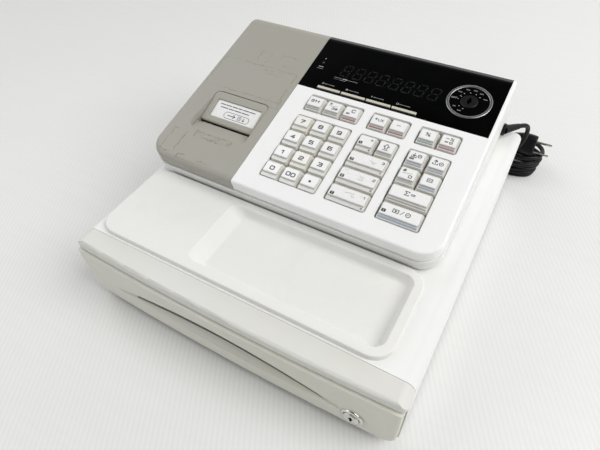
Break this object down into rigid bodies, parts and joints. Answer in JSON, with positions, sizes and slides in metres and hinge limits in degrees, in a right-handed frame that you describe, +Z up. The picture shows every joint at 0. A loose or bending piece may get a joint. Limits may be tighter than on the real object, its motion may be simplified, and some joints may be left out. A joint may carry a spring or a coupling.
{
  "type": "ticket register",
  "caption": "Ticket register: low cash-drawer cabinet with a change tray, and a sloped unit on top with keys, a dark display panel, a key switch and a hinged printer cover.",
  "frame": {"origin": "on the floor under the middle of the cabinet, measured without the cord, its coil and the plug", "axes": "+X to the right as seen by the cashier, +Y towards the rear, +Z up; the drawer opens towards -Y"},
  "size_m": [0.364, 0.4246, 0.1574],
  "materials": {
    "case_white": "fine matte, near-white",
    "trim_cream": "fine matte, yellowed cream-grey",
    "cover_grey": "fine matte, warm grey",
    "base_pan": "satin grey paint on sheet steel",
    "foot_rubber": "matte black",
    "screw_steel": "zinc-plated",
    "drawer_steel": "satin grey paint",
    "till_grey": "matte dark grey",
    "clip_black": "matte black",
    "lock_chrome": "polished",
    "panel_black": "high gloss black",
    "rotor_steel": "dark satin",
    "keycap_grey": "smoky clear cap over a white insert",
    "button_beige": "matte beige",
    "mechanism_black": "matte black",
    "board_green": "solder-masked board",
    "transformer_steel": "varnished steel laminations",
    "cord_black": "semi-gloss black vinyl",
    "plug_black": "semi-gloss black vinyl"
  },
  "bodies": {
    "register": {"cabinet_shell": "case_white", "front_bezel": "trim_cream", "cabinet_base": "base_pan", "rubber_feet": "foot_rubber", "case_screws": "screw_steel", "change_tray": "case_white", "lower_housing": "case_white", "keyboard_housing": "case_white", "display_window": "panel_black", "printer_mechanism": "mechanism_black", "main_board": "board_green", "power_transformer": "transformer_steel", "cord_gland": "cord_black", "power_cord": "cord_black", "cord_bundle": "cord_black", "power_plug": "plug_black"},
    "drawer": {"drawer_box": "drawer_steel", "drawer_front": "trim_cream", "till_insert": "till_grey"},
    "lock": {"drawer_lock": "lock_chrome"},
    "latch": {"drawer_latch": "screw_steel"},
    "clip_left": {"bill_clip_left": "clip_black"},
    "clip_right": {"bill_clip_right": "clip_black"},
    "cover": {"printer_cover": "cover_grey"},
    "platen": {"platen_arm": "cover_grey"},
    "mode_rotor": {"mode_switch_rotor": "rotor_steel"},
    "key_7": {"key_7": "keycap_grey"},
    "key_8": {"key_8": "keycap_grey"},
    "key_9": {"key_9": "keycap_grey"},
    "key_4": {"key_4": "keycap_grey"},
    "key_5": {"key_5": "keycap_grey"},
    "key_6": {"key_6": "keycap_grey"},
    "key_1": {"key_1": "keycap_grey"},
    "key_2": {"key_2": "keycap_grey"},
    "key_3": {"key_3": "keycap_grey"},
    "key_0": {"key_0": "keycap_grey"},
    "key_00": {"key_00": "keycap_grey"},
    "key_point": {"key_point": "keycap_grey"},
    "key_feed": {"key_feed": "keycap_grey"},
    "key_multiply": {"key_multiply": "keycap_grey"},
    "key_clear": {"key_clear": "keycap_grey"},
    "key_void": {"key_void": "keycap_grey"},
    "key_minus": {"key_minus": "keycap_grey"},
    "key_percent": {"key_percent": "keycap_grey"},
    "key_discount": {"key_discount": "keycap_grey"},
    "key_dept_4": {"key_dept_4": "keycap_grey"},
    "key_dept_shift": {"key_dept_shift": "keycap_grey"},
    "key_dept_3": {"key_dept_3": "keycap_grey"},
    "key_dept_2": {"key_dept_2": "keycap_grey"},
    "key_dept_1": {"key_dept_1": "keycap_grey"},
    "key_received": {"key_received": "keycap_grey"},
    "key_paid_out": {"key_paid_out": "keycap_grey"},
    "key_price_code": {"key_price_code": "keycap_grey"},
    "key_voucher": {"key_voucher": "keycap_grey"},
    "key_subtotal": {"key_subtotal": "keycap_grey"},
    "key_tender": {"key_tender": "keycap_grey"},
    "panel_button_1": {"panel_button_1": "button_beige"},
    "panel_button_2": {"panel_button_2": "button_beige"},
    "panel_button_3": {"panel_button_3": "button_beige"},
    "panel_button_4": {"panel_button_4": "button_beige"}
  },
  "joints": [
    {"name": "drawer_slide", "type": "slide", "parent": "register", "child": "drawer", "axis": [0, -1, 0], "range_m": [0, 0.235]},
    {"name": "drawer_lock_turn", "type": "hinge", "parent": "drawer", "child": "lock", "pos_m": [0.127, -0.166, 0.0292], "axis": [0, -1, 0], "range_deg": [0, 90]},
    {"name": "drawer_latch_rock", "type": "hinge", "parent": "register", "child": "latch", "pos_m": [0.016, 0.144, 0.0115], "axis": [-1, 0, 0], "range_deg": [0, 5.5]},
    {"name": "bill_clip_left_lift", "type": "hinge", "parent": "drawer", "child": "clip_left", "pos_m": [-0.1004, 0.116, 0.054], "axis": [-1, 0, 0], "range_deg": [0, 36], "stiffness_Nm_per_rad": 0.04, "springref_deg": -20.05},
    {"name": "bill_clip_right_lift", "type": "hinge", "parent": "drawer", "child": "clip_right", "pos_m": [0.1004, 0.116, 0.054], "axis": [-1, 0, 0], "range_deg": [0, 36], "stiffness_Nm_per_rad": 0.04, "springref_deg": -20.05},
    {"name": "printer_cover_lift", "type": "hinge", "parent": "register", "child": "cover", "pos_m": [-0.1123, 0.15521, 0.14628], "axis": [-1, 0, 0], "range_deg": [0, 80]},
    {"name": "platen_arm_lift", "type": "hinge", "parent": "register", "child": "platen", "pos_m": [-0.10475, 0.02821, 0.12893], "axis": [-1, 0, 0], "range_deg": [0, 40]},
    {"name": "mode_switch_turn", "type": "hinge", "parent": "register", "child": "mode_rotor", "pos_m": [0.1099, 0.1027, 0.14891], "axis": [0, -0.2351, 0.972], "range_deg": [-111, 99]},
    {"name": "key_7_press", "type": "slide", "parent": "register", "child": "key_7", "axis": [0, 0.2351, -0.972], "range_m": [0, 0.003], "stiffness_N_per_m": 100, "springref_m": -0.003},
    {"name": "key_8_press", "type": "slide", "parent": "register", "child": "key_8", "axis": [0, 0.2351, -0.972], "range_m": [0, 0.003], "stiffness_N_per_m": 100, "springref_m": -0.003},
    {"name": "key_9_press", "type": "slide", "parent": "register", "child": "key_9", "axis": [0, 0.2351, -0.972], "range_m": [0, 0.003], "stiffness_N_per_m": 100, "springref_m": -0.003},
    {"name": "key_4_press", "type": "slide", "parent": "register", "child": "key_4", "axis": [0, 0.2351, -0.972], "range_m": [0, 0.003], "stiffness_N_per_m": 100, "springref_m": -0.003},
    {"name": "key_5_press", "type": "slide", "parent": "register", "child": "key_5", "axis": [0, 0.2351, -0.972], "range_m": [0, 0.003], "stiffness_N_per_m": 100, "springref_m": -0.003},
    {"name": "key_6_press", "type": "slide", "parent": "register", "child": "key_6", "axis": [0, 0.2351, -0.972], "range_m": [0, 0.003], "stiffness_N_per_m": 100, "springref_m": -0.003},
    {"name": "key_1_press", "type": "slide", "parent": "register", "child": "key_1", "axis": [0, 0.2351, -0.972], "range_m": [0, 0.003], "stiffness_N_per_m": 100, "springref_m": -0.003},
    {"name": "key_2_press", "type": "slide", "parent": "register", "child": "key_2", "axis": [0, 0.2351, -0.972], "range_m": [0, 0.003], "stiffness_N_per_m": 100, "springref_m": -0.003},
    {"name": "key_3_press", "type": "slide", "parent": "register", "child": "key_3", "axis": [0, 0.2351, -0.972], "range_m": [0, 0.003], "stiffness_N_per_m": 100, "springref_m": -0.003},
    {"name": "key_0_press", "type": "slide", "parent": "register", "child": "key_0", "axis": [0, 0.2351, -0.972], "range_m": [0, 0.003], "stiffness_N_per_m": 100, "springref_m": -0.003},
    {"name": "key_00_press", "type": "slide", "parent": "register", "child": "key_00", "axis": [0, 0.2351, -0.972], "range_m": [0, 0.003], "stiffness_N_per_m": 100, "springref_m": -0.003},
    {"name": "key_point_press", "type": "slide", "parent": "register", "child": "key_point", "axis": [0, 0.2351, -0.972], "range_m": [0, 0.003], "stiffness_N_per_m": 100, "springref_m": -0.003},
    {"name": "key_feed_press", "type": "slide", "parent": "register", "child": "key_feed", "axis": [0, 0.2351, -0.972], "range_m": [0, 0.003], "stiffness_N_per_m": 100, "springref_m": -0.003},
    {"name": "key_multiply_press", "type": "slide", "parent": "register", "child": "key_multiply", "axis": [0, 0.2351, -0.972], "range_m": [0, 0.003], "stiffness_N_per_m": 100, "springref_m": -0.003},
    {"name": "key_clear_press", "type": "slide", "parent": "register", "child": "key_clear", "axis": [0, 0.2351, -0.972], "range_m": [0, 0.003], "stiffness_N_per_m": 100, "springref_m": -0.003},
    {"name": "key_void_press", "type": "slide", "parent": "register", "child": "key_void", "axis": [0, 0.2351, -0.972], "range_m": [0, 0.003], "stiffness_N_per_m": 100, "springref_m": -0.003},
    {"name": "key_minus_press", "type": "slide", "parent": "register", "child": "key_minus", "axis": [0, 0.2351, -0.972], "range_m": [0, 0.003], "stiffness_N_per_m": 100, "springref_m": -0.003},
    {"name": "key_percent_press", "type": "slide", "parent": "register", "child": "key_percent", "axis": [0, 0.2351, -0.972], "range_m": [0, 0.003], "stiffness_N_per_m": 100, "springref_m": -0.003},
    {"name": "key_discount_press", "type": "slide", "parent": "register", "child": "key_discount", "axis": [0, 0.2351, -0.972], "range_m": [0, 0.003], "stiffness_N_per_m": 100, "springref_m": -0.003},
    {"name": "key_dept_4_press", "type": "slide", "parent": "register", "child": "key_dept_4", "axis": [0, 0.2351, -0.972], "range_m": [0, 0.003], "stiffness_N_per_m": 100, "springref_m": -0.003},
    {"name": "key_dept_shift_press", "type": "slide", "parent": "register", "child": "key_dept_shift", "axis": [0, 0.2351, -0.972], "range_m": [0, 0.003], "stiffness_N_per_m": 100, "springref_m": -0.003},
    {"name": "key_dept_3_press", "type": "slide", "parent": "register", "child": "key_dept_3", "axis": [0, 0.2351, -0.972], "range_m": [0, 0.003], "stiffness_N_per_m": 100, "springref_m": -0.003},
    {"name": "key_dept_2_press", "type": "slide", "parent": "register", "child": "key_dept_2", "axis": [0, 0.2351, -0.972], "range_m": [0, 0.003], "stiffness_N_per_m": 100, "springref_m": -0.003},
    {"name": "key_dept_1_press", "type": "slide", "parent": "register", "child": "key_dept_1", "axis": [0, 0.2351, -0.972], "range_m": [0, 0.003], "stiffness_N_per_m": 100, "springref_m": -0.003},
    {"name": "key_received_press", "type": "slide", "parent": "register", "child": "key_received", "axis": [0, 0.2351, -0.972], "range_m": [0, 0.003], "stiffness_N_per_m": 100, "springref_m": -0.003},
    {"name": "key_paid_out_press", "type": "slide", "parent": "register", "child": "key_paid_out", "axis": [0, 0.2351, -0.972], "range_m": [0, 0.003], "stiffness_N_per_m": 100, "springref_m": -0.003},
    {"name": "key_price_code_press", "type": "slide", "parent": "register", "child": "key_price_code", "axis": [0, 0.2351, -0.972], "range_m": [0, 0.003], "stiffness_N_per_m": 100, "springref_m": -0.003},
    {"name": "key_voucher_press", "type": "slide", "parent": "register", "child": "key_voucher", "axis": [0, 0.2351, -0.972], "range_m": [0, 0.003], "stiffness_N_per_m": 100, "springref_m": -0.003},
    {"name": "key_subtotal_press", "type": "slide", "parent": "register", "child": "key_subtotal", "axis": [0, 0.2351, -0.972], "range_m": [0, 0.003], "stiffness_N_per_m": 100, "springref_m": -0.003},
    {"name": "key_tender_press", "type": "slide", "parent": "register", "child": "key_tender", "axis": [0, 0.2351, -0.972], "range_m": [0, 0.003], "stiffness_N_per_m": 100, "springref_m": -0.003},
    {"name": "panel_button_1_press", "type": "slide", "parent": "register", "child": "panel_button_1", "axis": [0, 0.2351, -0.972], "range_m": [0, 0.0012], "stiffness_N_per_m": 100, "springref_m": -0.003},
    {"name": "panel_button_2_press", "type": "slide", "parent": "register", "child": "panel_button_2", "axis": [0, 0.2351, -0.972], "range_m": [0, 0.0012], "stiffness_N_per_m": 100, "springref_m": -0.003},
    {"name": "panel_button_3_press", "type": "slide", "parent": "register", "child": "panel_button_3", "axis": [0, 0.2351, -0.972], "range_m": [0, 0.0012], "stiffness_N_per_m": 100, "springref_m": -0.003},
    {"name": "panel_button_4_press", "type": "slide", "parent": "register", "child": "panel_button_4", "axis": [0, 0.2351, -0.972], "range_m": [0, 0.0012], "stiffness_N_per_m": 100, "springref_m": -0.003}
  ]
}
